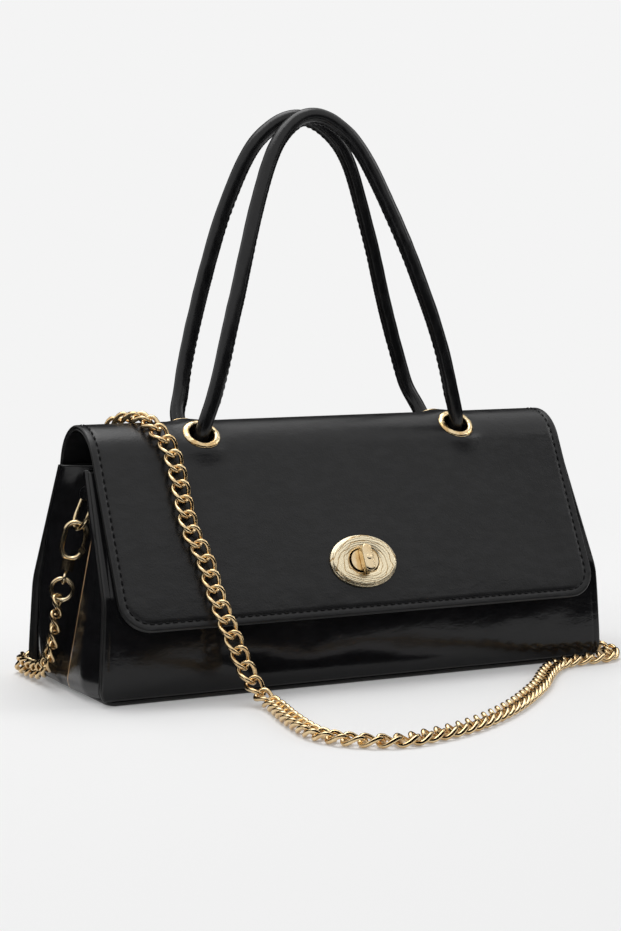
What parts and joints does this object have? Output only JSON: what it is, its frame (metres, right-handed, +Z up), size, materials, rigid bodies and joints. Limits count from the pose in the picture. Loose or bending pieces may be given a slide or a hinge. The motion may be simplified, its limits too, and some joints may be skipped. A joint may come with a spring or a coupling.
{
  "type": "shoulder bag",
  "caption": "Structured flap shoulder bag with folded side gussets, two arched tubular handles, an oval turn lock and a curb chain strap clipped on at the sides.",
  "frame": {"origin": "middle of the base, on the surface that the bag stands on", "axes": "+X to the wearer's right seen from the front, the front with the lock faces -Y, +Z up"},
  "size_m": [0.3109, 0.2562, 0.2946],
  "materials": {
    "flap_leather": "satin",
    "body_leather": "semi-gloss",
    "handle_leather": "satin",
    "lining_leather": "matt",
    "gold_metal": "polished",
    "board": "matt",
    "core_cord": "matt"
  },
  "bodies": {
    "bag": {"front_panel": "body_leather", "back_panel": "body_leather", "bottom_panel": "body_leather", "base_board": "board", "gusset_left": "body_leather", "gusset_right": "body_leather", "lining": "lining_leather", "front_facing": "lining_leather", "back_facing": "lining_leather", "back_hinge_strip": "body_leather", "lock_base": "gold_metal", "lock_base_washer": "gold_metal", "ring_tab_left": "body_leather", "ring_tab_right": "body_leather", "chain_left_end": "gold_metal", "chain_right_end": "gold_metal", "chain_left": "gold_metal", "chain_back": "gold_metal", "chain_hinge": "gold_metal", "chain_front_drop": "gold_metal", "chain_floor": "gold_metal", "chain_right": "gold_metal"},
    "flap": {"flap_outer": "flap_leather", "flap_lining": "lining_leather", "lock_plate": "gold_metal", "lock_back_plate": "gold_metal", "eyelets": "gold_metal", "eyelet_washers": "gold_metal", "chain_over_flap": "gold_metal", "handle_necks_front": "handle_leather", "handle_necks_back": "handle_leather", "handle_stops": "lining_leather"},
    "lock_knob": {"lock_knob": "gold_metal", "lock_knob_rivet": "gold_metal"},
    "handle_front": {"handle_front_cover": "handle_leather", "handle_front_core": "core_cord"},
    "handle_back": {"handle_back_cover": "handle_leather", "handle_back_core": "core_cord"},
    "d_ring_left": {"d_ring_left": "gold_metal", "swivel_eye_left": "gold_metal", "end_ring_left": "gold_metal"},
    "hook_left": {"hook_body_left": "gold_metal", "gate_pin_left": "gold_metal"},
    "gate_left": {"gate_left": "gold_metal"},
    "d_ring_right": {"d_ring_right": "gold_metal", "swivel_eye_right": "gold_metal", "end_ring_right": "gold_metal"},
    "hook_right": {"hook_body_right": "gold_metal", "gate_pin_right": "gold_metal"},
    "gate_right": {"gate_right": "gold_metal"}
  },
  "joints": [
    {"name": "flap_hinge", "type": "hinge", "parent": "bag", "child": "flap", "pos_m": [0, 0.02366, 0.113], "axis": [-1, 0, 0], "range_deg": [0, 95], "deforming": ["chain_hinge", "chain_front_drop"]},
    {"name": "lock_turn", "type": "hinge", "parent": "bag", "child": "lock_knob", "pos_m": [0, -0.04901, 0.062], "axis": [0, -0.9026, 0.4305], "range_deg": [0, 90]},
    {"name": "handle_front_swing", "type": "hinge", "parent": "flap", "child": "handle_front", "pos_m": [0, -0.01543, 0.12738], "axis": [1, 0, 0], "range_deg": [0, 100], "deforming": ["handle_necks_front"]},
    {"name": "handle_back_swing", "type": "hinge", "parent": "flap", "child": "handle_back", "pos_m": [0, 0.01543, 0.12738], "axis": [-1, 0, 0], "range_deg": [0, 40], "deforming": ["handle_necks_back"]},
    {"name": "d_ring_swing_left", "type": "hinge", "parent": "bag", "child": "d_ring_left", "pos_m": [-0.12879, 0, 0.09786], "axis": [0, 1, 0], "range_deg": [0, 30], "deforming": ["chain_left_end"]},
    {"name": "hook_swivel_left", "type": "hinge", "parent": "d_ring_left", "child": "hook_left", "pos_m": [-0.13632, 0, 0.08096], "axis": [0.2622, 0, 0.965], "range_deg": [-15, 15]},
    {"name": "gate_left_open", "type": "hinge", "parent": "hook_left", "child": "gate_left", "pos_m": [-0.13444, -0.00236, 0.0702], "axis": [-0.4381, -0.891, 0.119], "range_deg": [0, 25], "stiffness_Nm_per_rad": 0.0005, "springref_deg": -17.19},
    {"name": "d_ring_swing_right", "type": "hinge", "parent": "bag", "child": "d_ring_right", "pos_m": [0.12879, 0, 0.09786], "axis": [0, -1, 0], "range_deg": [0, 30], "deforming": ["chain_right_end"]},
    {"name": "hook_swivel_right", "type": "hinge", "parent": "d_ring_right", "child": "hook_right", "pos_m": [0.13632, 0, 0.08096], "axis": [-0.2622, 0, 0.965], "range_deg": [-15, 15]},
    {"name": "gate_right_open", "type": "hinge", "parent": "hook_right", "child": "gate_right", "pos_m": [0.13444, -0.00236, 0.0702], "axis": [-0.4381, 0.891, -0.119], "range_deg": [0, 25], "stiffness_Nm_per_rad": 0.0005, "springref_deg": -17.19}
  ]
}
